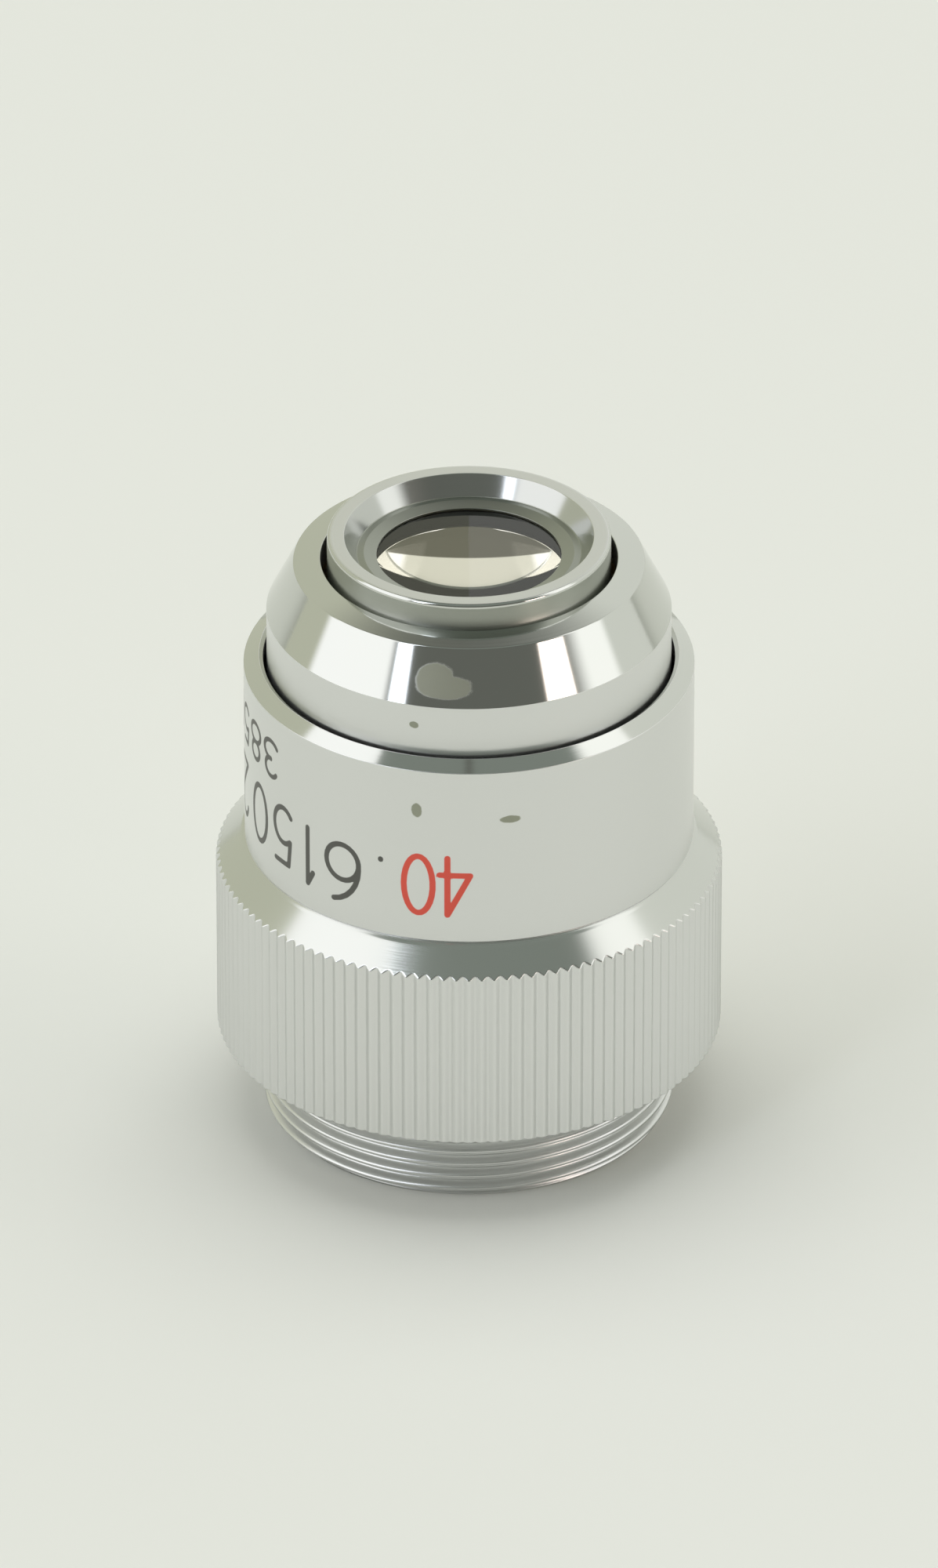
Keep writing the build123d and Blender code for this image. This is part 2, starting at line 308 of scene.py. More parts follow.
def stain(tree, centre, size):
    """The weight of a stain, 1 inside and 0 outside: an ellipsoid of a centre and a size in
    millimetres, with a ragged edge from noise as coarse as the stain itself."""
    raggedness = 0.35
    softness = 0.2
    edge = 1 + raggedness / 2
    place = add_node(tree, "ShaderNodeTexCoord").outputs["Object"]
    local = add_node(tree, "ShaderNodeMapping", {
        "Vector": place, "Location": [value * MM for value in centre],
        "Scale": [value * MM / 2 for value in size]}, vector_type="TEXTURE").outputs[0]
    reach = add_node(tree, "ShaderNodeVectorMath", {0: local}, operation="LENGTH")
    noise = add_node(tree, "ShaderNodeTexNoise", {"Vector": local, "Scale": 1.6, "Detail": 3.0})
    ragged = add_node(tree, "ShaderNodeMath", {
        0: noise.outputs[0], 1: raggedness, 2: reach.outputs["Value"]}, operation="MULTIPLY_ADD")
    return add_node(tree, "ShaderNodeMapRange", {
        "Value": ragged.outputs[0], "From Min": edge, "From Max": edge - softness},
        interpolation_type="SMOOTHSTEP").outputs["Result"]


def filled(tree, attribute, half_width):
    """The weight of a paint-filled stroke, from the distance in millimetres to its middle line.

    It falls from 1 to 0 over the last 0.05 mm of the stroke, as the paint thins out there."""
    distance = add_node(tree, "ShaderNodeAttribute", attribute_name=attribute).outputs["Fac"]
    return add_node(tree, "ShaderNodeMapRange", {
        "Value": distance, "From Min": half_width + 0.02, "From Max": half_width - 0.03},
        interpolation_type="SMOOTHSTEP").outputs["Result"]


PAINT_GLOSS = 0.45


def plated(colour, roughness, line_strength, marks=(), strokes=()):
    """The surface of a turned and plated metal, with stains of (centre, size, colour, metallic,
    roughness) and painted strokes of (attribute, half width, colour)."""
    def surface(tree):
        cover = linear(colour)
        metallic = 1.0
        gloss = roughness
        layers = [(stain(tree, *mark[:2]), *mark[2:]) for mark in marks]
        layers += [(filled(tree, *stroke[:2]), stroke[2], 0.0, PAINT_GLOSS) for stroke in strokes]
        for weight, layer_colour, layer_metallic, layer_gloss in layers:
            cover = add_node(tree, "ShaderNodeMix", {
                0: weight, 6: cover, 7: linear(layer_colour)}, data_type="RGBA").outputs[2]
            metallic = add_node(tree, "ShaderNodeMix", {0: weight, 2: metallic, 3: layer_metallic}).outputs[0]
            gloss = add_node(tree, "ShaderNodeMix", {0: weight, 2: gloss, 3: layer_gloss}).outputs[0]
        return add_node(tree, "ShaderNodeBsdfPrincipled", {
            "Base Color": cover, "Metallic": metallic, "Roughness": gloss,
            "Normal": turning_lines(tree, line_strength)}).outputs[0]
    return surface


def coated(colour, roughness):
    """The surface of a plain coating that is no metal."""
    def surface(tree):
        return add_node(tree, "ShaderNodeBsdfPrincipled", {
            "Base Color": linear(colour), "Roughness": roughness}).outputs[0]
    return surface


def polished_glass(tree):
    """The surface of polished optical glass, a dense crown."""
    return add_node(tree, "ShaderNodeBsdfPrincipled", {
        "Base Color": linear("FFFFFF"), "Roughness": 0.0, "IOR": 1.6, "Transmission Weight": 1.0}).outputs[0]


def on_wall(radius, angle, height):
    """A point in millimetres on a wall of a radius, at an angle and a height."""
    return radius * sin(radians(angle)), -radius * cos(radians(angle)), height


# Each stain is its middle, its size and its look. The looks are those of olive spots of residue
# and of a pale smear, as a colour, metallic and roughness.
SPOT = ("A0A392", 0.4, 0.6)
SMEAR = ("9C9E90", 0.4, 0.5)
SLEEVE_STAINS = (
    (on_wall(SLEEVE_RADIUS, -13.3, 17.98), (0.62, 0.4, 0.85), *SPOT),
    (on_wall(SLEEVE_RADIUS, 10.5, 17.55), (1.15, 0.6, 0.45), *SPOT),
)
NOSE_STAINS = ((on_wall(NOSE_RADIUS, -15.6, 22.08), (0.55, 0.4, 0.4), *SPOT),)
CONE_STAINS = (
    (on_wall(9.32, -10.3, 24.34), (2.1, 1.6, 1.9), *SMEAR),
    (on_wall(9.48, -6.8, 24.06), (2.9, 1.6, 1.2), *SMEAR),
)

# The filled engraving: the stored distance to its strokes, half their width and the paint's colour
MARKINGS = (("red_stroke", 0.16, "E65544"), ("black_stroke", 0.15, "555550"))

# Chrome plate over fine-turned brass: an even, soft, slightly cool grey with faint lines.
# The nose and the sleeve also carry their spots, and the sleeve its paint-filled engraving.
SATIN = ("E0E1E0", 0.3, 0.1)
satin_chrome = new_material("satin_chrome_plate", plated(*SATIN))
nose_chrome = new_material("satin_chrome_nose", plated(*SATIN, NOSE_STAINS))
marked_chrome = new_material("satin_chrome_with_filled_engraving", plated(*SATIN, SLEEVE_STAINS, MARKINGS))

# Chrome plate over polished brass: a clear mirror of the bright panels and the dim room.
# On the cone it is dulled by the smear, and the nose's face is a shade sharper.
MIRROR_COLOUR = "D3D5D1"
bright_chrome = new_material("polished_chrome_plate", plated(MIRROR_COLOUR, 0.08, 0.02))
cone_chrome = new_material("polished_chrome_cone", plated(MIRROR_COLOUR, 0.08, 0.02, CONE_STAINS))
face_chrome = new_material("polished_chrome_face", plated(MIRROR_COLOUR, 0.07, 0.02))

# Chrome plate straight from a fine cut: reflections with blurred edges
turned_chrome = new_material("fine_turned_chrome_plate", plated(MIRROR_COLOUR, 0.16, 0.05))
# The recess's copy is a shade darker than the chrome outside it: painted shade in the recess.
shaded_recess_chrome = new_material("fine_turned_chrome_recess_painted_shade", plated("C6C8C5", 0.14, 0.05))

# Metal spun over the lens's edge: a darker, duller ring that frames the glass
spun_lip = new_material("spun_lens_lip", plated("A6A9A1", 0.32, 0.1))

# Oxidised steel screw: near black with a metal's dull glint
black_oxide = new_material("black_oxide_steel", plated("2A2A2A", 0.4, 0.1))

# Turned brass without plating: warm yellow with clear turning lines
bare_brass = new_material("turned_brass", plated("C9A45C", 0.3, 0.2))

# Drawn steel wire: smooth grey with long thin highlights
spring_wire = new_material("drawn_spring_wire", plated("A8A8A4", 0.25, 0.0))

# Blackened brass, anodised aluminium and inked ground glass: dark coats that keep stray light down
blackened_brass = new_material("blackened_brass", coated("1A1918", 0.5))
black_anodised = new_material("matte_black_anodised_aluminium", coated("101012", 0.7))
ground_edge = new_material("blackened_ground_glass_edge", coated("2B2A26", 0.8))

# Optical glass: clear, with the backdrop bent through it. The front lens's rear surface is made a faintly
# warm metal mirror, which the glass is not: a painted reflection that fills the lens with a bright and bent
# picture of the room.
lens_glass = new_material("polished_optical_glass", polished_glass)
lens_mirror = new_material("rear_surface_mirror_painted_reflection", plated("F0EEE4", 0.02, 0.0))

NODES_OF_MATERIAL = (
    (black_oxide, ("guide_screw",)),
    (bare_brass, ("lens_barrel", "spacing_shim")),
    (black_anodised, ("rear_baffle_tube", "air_gap_spacer", "aperture_stop")),
    (blackened_brass, ("rear_retaining_ring", "rear_cell", "rear_lens_retainer", "middle_cell",
                       "middle_lens_retainer", "front_lens_retainer")),
    (lens_glass, ("rear_crown_lens", "rear_flint_lens", "middle_crown_lens", "middle_flint_lens")),
)
for material, nodes in NODES_OF_MATERIAL:
    for node in nodes:
        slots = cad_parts[node].data.materials
        slots.clear()
        slots.append(material)


# Fixed body

def thread_radius(angle, height):
    """Radius of the threaded shank: a helical groove of rounded V section, cut back at both ends.

    The groove's depth is a cosine of the turns passed, clipped flat at the crest and the root.
    The turns passed are the height over the pitch less the angle's share of a turn. A cone cuts
    the lower end, and the neck cuts the upper one."""
    turn = height / THREAD_PITCH - angle / (2 * np.pi)
    wave = 0.5 + 0.5 * np.cos(2 * np.pi * turn)
    groove = THREAD_RADIUS - THREAD_DEPTH * np.clip(1.25 * wave - 0.125, 0, 1)
    lead_in = THREAD_RADIUS - THREAD_LEAD_IN + (height - THREAD_END_Z)
    neck_ramp = np.clip((-NECK_LENGTH - height) / NECK_RAMP + 1, 0, None)
    return np.minimum(np.minimum(groove, lead_in), NECK_RADIUS + NECK_RAMP_RISE * neck_ramp)


def grip_radius(angle, height):
    """Radius of the ridged grip, and how far its ridges stand out past the chamfer's cone.

    A ridge falls from its crest to its valley by the mean of a straight line and a half cosine.
    The chamfer's cone cuts the ridges above, and a small chamfer cuts the edge below."""
    share = np.abs(2 * ((angle * RIDGE_COUNT / (2 * np.pi)) % 1.0) - 1)
    valley = 0.5 * share + 0.5 * (0.5 - 0.5 * np.cos(np.pi * share))
    ridge = GRIP_RADIUS - RIDGE_DEPTH * valley
    slope = (SLEEVE_FOOT_Z - GRIP_LENGTH) / (GRIP_RADIUS - SLEEVE_RADIUS)
    chamfer = SLEEVE_RADIUS + (SLEEVE_FOOT_Z - height) / slope
    edge = GRIP_RADIUS - GRIP_EDGE + np.clip(height, 0, None)
    return np.minimum(np.minimum(ridge, chamfer), edge), ridge - chamfer


def joined_rings(wide_start, wide_count, narrow_start, narrow_count):
    """Triangles between a ring of many points and one of fewer, a whole number of times fewer.

    Each side of the wide ring is joined to the narrow ring's point nearest to it, and each side
    of the narrow ring to the wide ring's point halfway along it."""
    ratio = wide_count // narrow_count
    narrow = np.arange(narrow_count)
    next_narrow = (narrow + 1) % narrow_count
    wide = np.arange(wide_count)
    step = wide % ratio
    pick = np.where(step < ratio // 2, np.repeat(narrow, ratio), np.repeat(next_narrow, ratio))
    slim = np.stack([narrow_start + pick, wide_start + (wide + 1) % wide_count, wide_start + wide], axis=1)
    middle = wide_start + wide[step == ratio // 2]
    broad = np.stack([narrow_start + narrow, narrow_start + next_narrow, middle], axis=1)
    return np.concatenate([slim, broad])


def make_mount_body():
    """Thread, neck, shoulder, ridged grip and spigot as one closed surface.

    It runs up the outside as rows of points: the threaded shank, the relief under the shoulder,
    the grip with more points to a row, and the spigot and bores back down to the thread's end."""
    fine = RIDGE_COUNT * RIDGE_STEPS
    coarse = fine // 4
    fine_angle = np.arange(fine)[None, :] * 2 * np.pi / fine
    coarse_angle = np.arange(coarse)[None, :] * 2 * np.pi / coarse

    shank_rows = int(-THREAD_END_Z / THREAD_PITCH * THREAD_STEPS)
    shank_height = np.linspace(THREAD_END_Z, 0, shank_rows)[:, None]
    in_neck = shank_height > -NECK_LENGTH + 0.05
    shank_radius = np.where(in_neck, NECK_RADIUS, thread_radius(coarse_angle, shank_height))
    shank = round_axis(shank_radius, shank_height, coarse_angle)
    relief_profile = np.array([
        [NECK_RADIUS, SEAT_RELIEF_DEPTH], [SEAT_RELIEF_RADIUS, SEAT_RELIEF_DEPTH], [SEAT_RELIEF_RADIUS, 0.0]])
    relief = turned_points(relief_profile, coarse)

    # The rows are close together where the radius changes, at the lower edge and on the chamfer
    chamfer_start = GRIP_LENGTH - 0.06
    chamfer_valley = GRIP_LENGTH + RIDGE_DEPTH + 0.06
    height = np.concatenate([
        np.linspace(0, GRIP_EDGE, 4),
        [0.12, 0.2, GRIP_LENGTH / 2, chamfer_start - 0.1],
        np.linspace(chamfer_start, chamfer_valley, 14),
        np.linspace(chamfer_valley + 0.1, SLEEVE_FOOT_Z, 6),
    ])[:, None]
    radius, standing_out = grip_radius(fine_angle, height)
    grip = round_axis(radius, height, fine_angle)

    inner_profile = rounded([
        (SPIGOT_RADIUS, SLEEVE_FOOT_Z), (SPIGOT_RADIUS, SPIGOT_TOP_Z, 0.1, 3),
        (GUIDE_BORE, SPIGOT_TOP_Z, 0.1, 3), (GUIDE_BORE, GUIDE_STEP_Z),
        (REAR_BORE, GUIDE_STEP_Z, 0.05, 2), (REAR_BORE, THREAD_END_Z, 0.1, 3),
        (THREAD_RADIUS - THREAD_LEAD_IN - 0.05, THREAD_END_Z)], closed=False)
    inner = turned_points(inner_profile, coarse)

    parts = (shank, relief, grip, inner)
    _, _, grip_start, inner_start, end = np.cumsum([0] + [len(part) for part in parts])
    lower_faces = grid_faces(shank_rows + len(relief_profile), coarse)
    grip_faces = grid_faces(len(height), fine) + grip_start
    under_faces = joined_rings(grip_start, fine, grip_start - coarse, coarse)
    top_faces = joined_rings(inner_start - fine, fine, inner_start, coarse)[:, ::-1]
    ring = np.arange(coarse)
    last_ring = end - coarse
    closing = np.stack([last_ring + ring, last_ring + (ring + 1) % coarse, (ring + 1) % coarse, ring], axis=1)
    inner_faces = grid_faces(len(inner_profile), coarse) + inner_start
    sets = (lower_faces, grip_faces, inner_faces, under_faces, top_faces, closing)
    faces = [face for face_set in sets for face in face_set.tolist()]

    obj = new_object("ridged_mount_body", np.concatenate(parts), faces, "fixed_body",
                     [satin_chrome, turned_chrome])
    lowest = np.minimum(standing_out[:-1], standing_out[1:])
    lowest = np.minimum(lowest, np.roll(lowest, -1, axis=1))
    on_chamfer = (lowest > -0.02) & ((height[:-1] + height[1:]) / 2 > GRIP_LENGTH)
    indices = np.zeros(len(faces))
    indices[len(lower_faces):len(lower_faces) + len(grip_faces)] = on_chamfer.ravel()
    set_face_materials(obj, indices)
    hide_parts("mount_body")


make_mount_body()


def arc(centre_x, centre_y, radius_x, radius_y, start, end):
    """Points along part of an ellipse, from one angle to another in degrees."""
    angle = np.radians(np.linspace(start, end, 2 + int(abs(end - start) / 15)))
    return np.stack([centre_x + radius_x * np.cos(angle), centre_y + radius_y * np.sin(angle)], axis=1)


# The strokes of plain digits in a cell 0.6 wide and 1 tall, drawn with lines and arcs
CELL_WIDTH = 0.6
DIGIT_STROKES = {
    "0": [arc(0.3, 0.5, 0.3, 0.5, 0, 360)],
    "1": [np.array([(0.12, 0.78), (0.36, 1.0), (0.36, 0.0)])],
    "2": [np.concatenate([arc(0.3, 0.71, 0.28, 0.29, 165, -35), [(0.03, 0.0), (0.6, 0.0)]])],
    "3": [arc(0.28, 0.75, 0.26, 0.25, 150, -90), arc(0.28, 0.26, 0.31, 0.26, 90, -150)],
    "4": [np.array([(0.46, 0.0), (0.46, 1.0), (0.0, 0.3), (0.62, 0.3)])],
    "5": [np.concatenate([[(0.54, 1.0), (0.12, 1.0), (0.07, 0.56)], arc(0.28, 0.32, 0.3, 0.32, 125, -140)])],
    "6": [arc(0.3, 0.31, 0.3, 0.31, 0, 360), arc(0.56, 0.36, 0.56, 0.64, 180, 100)],
    "8": [arc(0.3, 0.76, 0.24, 0.24, 0, 360), arc(0.3, 0.26, 0.3, 0.26, 0, 360)],
    ".": [np.array([(0.0, 0.0), (0.0, 0.01)])],
}

# Each marking: digit, angle of its right edge, height of its upper edge, its own height and its
# width. All are upside down on the sleeve, so they read with the nose pointing down.
RED_DIGITS = (("4", 0.3, 15.4, 3.2, 1.45), ("0", -9.2, 15.4, 3.2, 1.45))
BLACK_DIGITS = (
    (".", -22.9, 14.9, 3.2, 2.0), ("6", -29.1, 15.1, 3.2, 1.9), ("1", -42.6, 15.25, 3.15, 0.9),
    ("5", -51.2, 15.5, 3.1, 1.6), ("0", -63.5, 15.5, 3.1, 1.7), ("2", -78.0, 15.5, 3.1, 1.6),
    ("0", -90.0, 15.5, 3.1, 1.7),
)
SMALL_DIGITS = tuple((digit, -57.8 - 9.4 * i, 18.74, 2.0, 1.3) for i, digit in enumerate("385062"))
SMALL_STROKE_THINNING = 0.02
NO_STROKE = 9.0


def stroke_distance(angle, height, digits):
    """Distance in millimetres from points on the sleeve to the nearest stroke of some digits.

    A stroke is a chain of straight lines, and the distance to a line is that to the point on it
    nearest to where the perpendicular from the sleeve's point falls."""
    nearest = np.full(angle.shape, NO_STROKE)
    for digit, right_edge, top, tall, wide in digits:
        across = np.radians(right_edge - angle) * SLEEVE_RADIUS
        down = top - height
        for stroke in DIGIT_STROKES[digit]:
            corners = stroke * (wide / CELL_WIDTH, tall)
            for start, end in zip(corners[:-1], corners[1:]):
                side = end - start
                share = ((across - start[0]) * side[0] + (down - start[1]) * side[1]) / (side @ side)
                share = np.clip(share, 0, 1)
                gap = np.hypot(across - start[0] - share * side[0], down - start[1] - share * side[1])
                nearest = np.minimum(nearest, gap)
    return nearest


def mark_sleeve(obj):
    """Store the distance to the red and to the black strokes on each vertex of the outer wall."""
    place = np.empty(len(obj.data.vertices) * 3)
    obj.data.vertices.foreach_get("co", place)
    x, y, height = place.reshape(-1, 3).T / MM
    angle = np.degrees(np.arctan2(x, -y))
    outside = np.hypot(x, y) > SLEEVE_RADIUS - 0.05
    red = stroke_distance(angle, height, RED_DIGITS)
    large = stroke_distance(angle, height, BLACK_DIGITS)
    small = stroke_distance(angle, height, SMALL_DIGITS) + SMALL_STROKE_THINNING
    set_attribute(obj, "red_stroke", np.where(outside, red, NO_STROKE))
    set_attribute(obj, "black_stroke", np.where(outside, np.minimum(large, small), NO_STROKE))


def make_outer_sleeve():
    """The sleeve: a satin wall with filled engraving and a mirror-polished bevel at its upper lip.

    Its wall has close rows where the markings are, so that the strokes' distances are exact."""
    foot_z = SLEEVE_FOOT_Z + SLEEVE_SEAM
    bevel_z = SLEEVE_TOP_Z - LIP_HEIGHT
    step_z = SPIGOT_TOP_Z + SPIGOT_CLEARANCE
    outline = [
        (SLEEVE_RADIUS, foot_z, 0.05, 4),
        *[(SLEEVE_RADIUS, height) for height in np.arange(11.6, 19.2, 0.1)],
        (SLEEVE_RADIUS, bevel_z, 0.04, 4),
        (SLEEVE_BORE + LIP_LAND, SLEEVE_TOP_Z, 0.03, 4),
        (LIP_BORE, SLEEVE_TOP_Z - LIP_EDGE_DROP, 0.06, 4),
        (LIP_BORE, step_z),
        (SLEEVE_BORE, step_z),
        (SLEEVE_BORE, foot_z),
    ]

    def zone(start, end):
        return int(min(start[1], end[1]) > bevel_z - 0.01 and end[0] - start[0] < -0.01)

    obj = turned_ring("outer_sleeve_shell", outline, "fixed_body",
                      [marked_chrome, bright_chrome], zone, MARKED_AROUND)
    mark_sleeve(obj)
    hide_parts("outer_sleeve")


make_outer_sleeve()


# Moving nose

def make_nose_cover():
    """The nose: a satin skirt, a mirror-polished cone and a polished face round the front hole."""
    outline = [
        (NOSE_RADIUS, SKIRT_FOOT_Z, 0.2, 4),
        (NOSE_RADIUS, CONE_FOOT_Z, 0.03, 4),
        (CONE_TOP_RADIUS, CONE_TOP_Z, 0.08, 5),
        (FRONT_HOLE, NOSE_FACE_Z, 0.04, 4),
        (FRONT_HOLE, BARREL_FRONT_Z),
        (NOSE_BORE, BARREL_FRONT_Z),
        (NOSE_BORE, SKIRT_FOOT_Z),
    ]

    def zone(start, end):
        middle_z = (start[1] + end[1]) / 2
        if middle_z < CONE_FOOT_Z + 0.005 or min(start[0], end[0]) < FRONT_HOLE + 0.01:
            return 0
        return 1 if middle_z < CONE_TOP_Z else 2

    obj = turned_ring("nose_cover_shell", outline, "moving_nose",
                      [nose_chrome, cone_chrome, face_chrome], zone)
    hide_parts("nose_cover")


make_nose_cover()


def make_front_cell():
    """The front ring: satin land, polished wall, fine-turned recess darkened with painted shade, and a spun
    lip over the lens.
    """
    recess_z = FRONT_TOP_Z - RECESS_DEPTH
    outline = [
        (CELL_RADIUS, CELL_FOOT_Z, 0.1, 3),
        (CELL_RADIUS, CELL_SHOULDER_Z),
        (RING_OUTER, CELL_SHOULDER_Z),
        (RING_OUTER, FRONT_TOP_Z, 0.16, 6),
        (LAND_INNER, FRONT_TOP_Z, 0.04, 4),
        (RECESS_FOOT, recess_z, 0.05, 4),
        (BEZEL_OUTER, recess_z + BEZEL_RISE, 0.06, 5),
        (LENS_OPENING, recess_z - LIP_DROP, 0.02, 3),
        (LENS_OPENING, LENS_FRONT_Z + LENS_GAP),
        (LENS_BORE, LENS_FRONT_Z + LENS_GAP),
        (LENS_BORE, LENS_FRONT_Z - LENS_RIM),
        (RETAINER_BORE, LENS_FRONT_Z - LENS_RIM),
        (RETAINER_BORE, CELL_FOOT_Z),
    ]

    def zone(start, end):
        middle_z = (start[1] + end[1]) / 2
        level = abs(end[1] - start[1]) < 0.4 * abs(end[0] - start[0])
        if middle_z < CELL_SHOULDER_Z + 0.01 or (level and middle_z > FRONT_TOP_Z - 0.05):
            return 0
        if middle_z < recess_z + BEZEL_RISE + 0.01:
            return 3
        return 2 if max(start[0], end[0]) < LAND_INNER else 1

    obj = turned_ring("front_cell_ring", outline, "moving_nose",
                      [satin_chrome, bright_chrome, shaded_recess_chrome, spun_lip], zone)
    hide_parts("front_cell")


make_front_cell()


def make_front_lens():
    """The front lens: flat in front, a ground rim, and a spherical rear surface that bulges down.

    The rear surface's profile is an arc of the circle through the rim and the bulge's lowest
    point, and the whole profile is turned round the axis and closed with a point at each pole."""
    rim_z = LENS_FRONT_Z - LENS_RIM
    lowest_z = rim_z - LENS_BULGE
    sphere = (LENS_RADIUS**2 + LENS_BULGE**2) / (2 * LENS_BULGE)
    tilt = np.linspace(0, 1, LENS_STEPS + 1)[1:] * np.arcsin(LENS_RADIUS / sphere)
    rear = np.stack([sphere * np.sin(tilt), lowest_z + sphere * (1 - np.cos(tilt))], axis=1)
    edge = rounded([
        (LENS_RADIUS, rim_z), (LENS_RADIUS, LENS_FRONT_Z, 0.04, 3), (0.0, LENS_FRONT_Z)], closed=False)
    # Two rings nearer the middle keep the shading of the flat front flat
    front = np.array([[3.0, LENS_FRONT_Z], [0.5, LENS_FRONT_Z]])
    profile = np.concatenate([rear, edge[1:-1], front])
    rows = len(profile)
    poles = np.array([[0, 0, lowest_z], [0, 0, LENS_FRONT_Z]])
    points = np.concatenate([turned_points(profile, AROUND), poles])
    faces = grid_faces(rows, AROUND).tolist()
    faces += fan_faces(rows * AROUND, 0, AROUND)[:, FLIPPED].tolist()
    faces += fan_faces(rows * AROUND + 1, (rows - 1) * AROUND, AROUND).tolist()
    obj = new_object("front_lens_glass", points, faces, "moving_nose",
                     [lens_glass, lens_mirror, ground_edge])
    row = np.arange(rows - 1)
    # The rear surface takes the metal mirror, a painted reflection in the lens.
    slot_of_row = np.select([row < LENS_STEPS - 1, row == LENS_STEPS - 1], [1, 2], 0)
    slots = np.concatenate([np.repeat(slot_of_row, AROUND), np.full(AROUND, 1), np.full(AROUND, 0)])
    set_face_materials(obj, slots)
    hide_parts("front_lens")


make_front_lens()


# Spring between the two bodies

def make_return_spring():
    """The coil spring: a circle of the wire's radius carried along a helix round the axis.

    The helix rises evenly with the angle, and the wire's circle lies in the radial and upright directions."""
    steps = SPRING_TURNS * SPRING_STEPS
    turn = np.linspace(0, SPRING_TURNS * 2 * np.pi, steps + 1)[:, None]
    climb = SPRING_HIGH_Z - SPRING_LOW_Z - 2 * WIRE_RADIUS
    middle_z = SPRING_LOW_Z + WIRE_RADIUS + climb * turn / turn[-1]
    around_wire = np.arange(WIRE_SIDES)[None, :] * 2 * np.pi / WIRE_SIDES
    radius = SPRING_RADIUS - WIRE_RADIUS + WIRE_RADIUS * np.cos(around_wire)
    height = middle_z + WIRE_RADIUS * np.sin(around_wire)
    tube = np.stack([radius * np.cos(turn), radius * np.sin(turn), height], axis=2)
    points = np.concatenate([tube.reshape(-1, 3), [tube[0].mean(axis=0), tube[-1].mean(axis=0)]])
    last_ring = steps * WIRE_SIDES
    hub = last_ring + WIRE_SIDES
    faces = grid_faces(steps + 1, WIRE_SIDES)[:, ::-1].tolist()
    faces += fan_faces(hub, 0, WIRE_SIDES).tolist()
    faces += fan_faces(hub + 1, last_ring, WIRE_SIDES)[:, FLIPPED].tolist()
    obj = new_object("return_spring_coil", points, faces, "fixed_body", [spring_wire])
    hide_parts("return_spring")
    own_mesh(obj)


make_return_spring()


# Floor, light and camera

FLOOR_COLOUR = "E6E7E1"
FLOOR_HALF_WIDTH = 3.0
TARGET_Z = 13.119 * MM


def make_floor():
    """A plain pale floor that the part stands on."""
    def surface(tree):
        return add_node(tree, "ShaderNodeBsdfDiffuse", {"Color": linear(FLOOR_COLOUR)}).outputs[0]

    half = FLOOR_HALF_WIDTH
    z = THREAD_END_Z * MM
    mesh = bpy.data.meshes.new("floor")
    corners = [(-half, -half, z), (half, -half, z), (half, half, z), (-half, half, z)]
    mesh.from_pydata(corners, [], [(0, 1, 2, 3)])
    mesh.materials.append(new_material("plain_pale_floor", surface))
    floor = bpy.data.objects.new("floor", mesh)
    bpy.context.scene.collection.objects.link(floor)


make_floor()


def direction(azimuth, elevation):
    """Unit vector from the object, for an angle round the axis and an angle up from the floor."""
    a, e = radians(azimuth), radians(elevation)
    return Vector((sin(a) * cos(e), -cos(a) * cos(e), sin(e)))


def aim(obj, azimuth, elevation, distance):
    """Put a lamp or the camera at a distance from the object's middle, looking at it."""
    away = direction(azimuth, elevation)
    obj.location = away * distance + Vector((0, 0, TARGET_Z))
    obj.rotation_euler = (-away).to_track_quat("-Z", "Y").to_euler()
    bpy.context.scene.collection.objects.link(obj)


def add_lamp(name, azimuth, elevation, width, height, radiance, colour, in_reflections=True):
    """A rectangular lamp that faces the object, of a width and height in degrees as seen from it.

    Its power is its radiance times pi times its area. The glass doesn't show it."""
    distance = 0.9
    light = bpy.data.lights.new(name, "AREA")
    light.shape = "RECTANGLE"
    light.size, light.size_y = radians(width) * distance, radians(height) * distance
    light.energy = radiance * pi * light.size * light.size_y
    light.color = linear(colour)[:3]
    lamp = bpy.data.objects.new(name, light)
    lamp.visible_glossy = in_reflections
    lamp.visible_transmission = False
    aim(lamp, azimuth, elevation, distance)


def past_edge(tree, azimuth, elevation, start, lean, bend_from, bend, softness):
    """How far a direction is past the edge of a light panel, from 0 to 1.

    The edge is at azimuth start on the horizon, leans by lean degrees for each degree up,
    and by bend more for each degree above bend_from."""
    leaned = add_node(tree, "ShaderNodeMath", {0: elevation, 1: lean, 2: start}, operation="MULTIPLY_ADD")
    above = add_node(tree, "ShaderNodeMath", {0: elevation, 1: bend_from}, operation="SUBTRACT")
    above = add_node(tree, "ShaderNodeMath", {0: above.outputs[0], 1: 0.0}, operation="MAXIMUM")
    edge = add_node(tree, "ShaderNodeMath", {
        0: above.outputs[0], 1: bend, 2: leaned.outputs[0]}, operation="MULTIPLY_ADD")
    past = add_node(tree, "ShaderNodeMath", {0: azimuth, 1: edge.outputs[0]}, operation="SUBTRACT")
    return add_node(tree, "ShaderNodeMapRange", {
        "Value": past.outputs[0], "From Min": -softness / 2, "From Max": softness / 2},
        interpolation_type="SMOOTHSTEP").outputs["Result"]


# The room: colours of the dim parts, and for each side the inner and the outer edge of its
# bright panel as past_edge takes them, the panel's colour and that of the backdrop beyond it
LOW_ROOM, HIGH_ROOM = "70726C", "8D948D"
PANEL_BRIGHTNESS = 1.4
RIGHT_SIDE = ((63, 0.15, 50, 3.0, 16), (87, 0.25, 40, 2.3, 6), "FFFFFC", "EEF0E8")
LEFT_SIDE = ((47, 0.0, 57, 5.4, 5), (94, 0.13, 37, 2.0, 6), "FFFFFF", "D2D4C1")

# What the glass shows: a dim room, with the backdrop behind and panels at the sides
GLASS_ROOM, GLASS_BACKDROP = "5E5D50", "E8E8DC"


